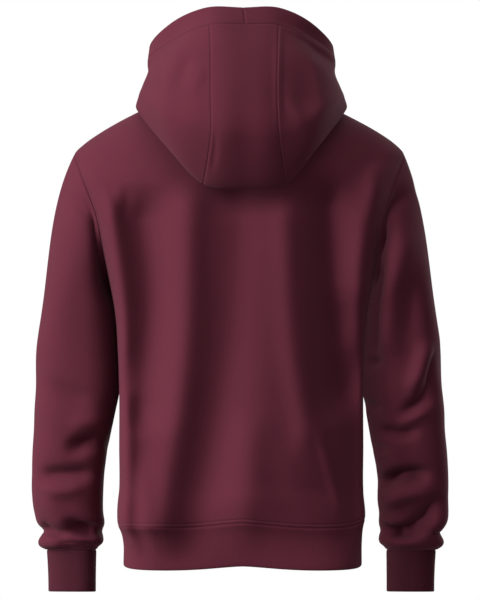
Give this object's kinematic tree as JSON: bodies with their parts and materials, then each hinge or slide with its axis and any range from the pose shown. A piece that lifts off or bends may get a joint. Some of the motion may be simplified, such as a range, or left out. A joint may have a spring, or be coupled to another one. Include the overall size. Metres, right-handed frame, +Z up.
{
  "type": "pullover hoodie",
  "caption": "Long-sleeved fleece pullover with a lowered hood, ribbed cuffs and hem, standing hollow as if worn.",
  "frame": {"origin": "on the centre line, level with the high points of the shoulders at the neck, where a wearer carries the garment", "axes": "+Z up along the wearer, the front faces -Y, the back faces +Y, +X is the wearer's left"},
  "size_m": [0.6248, 0.3459, 0.8758],
  "materials": {
    "fleece": "brushed maroon fleece, matt",
    "rib": "fine maroon rib knit, matt"
  },
  "bodies": {
    "root": {"back": "fleece", "front": "fleece", "sleeve_left": "fleece", "sleeve_right": "fleece", "cuff_left": "rib", "cuff_right": "rib", "hem_band": "rib", "hood_left": "fleece", "hood_right": "fleece", "hood_centre": "fleece", "hood_band_left": "fleece", "hood_band_right": "fleece"}
  },
  "joints": []
}
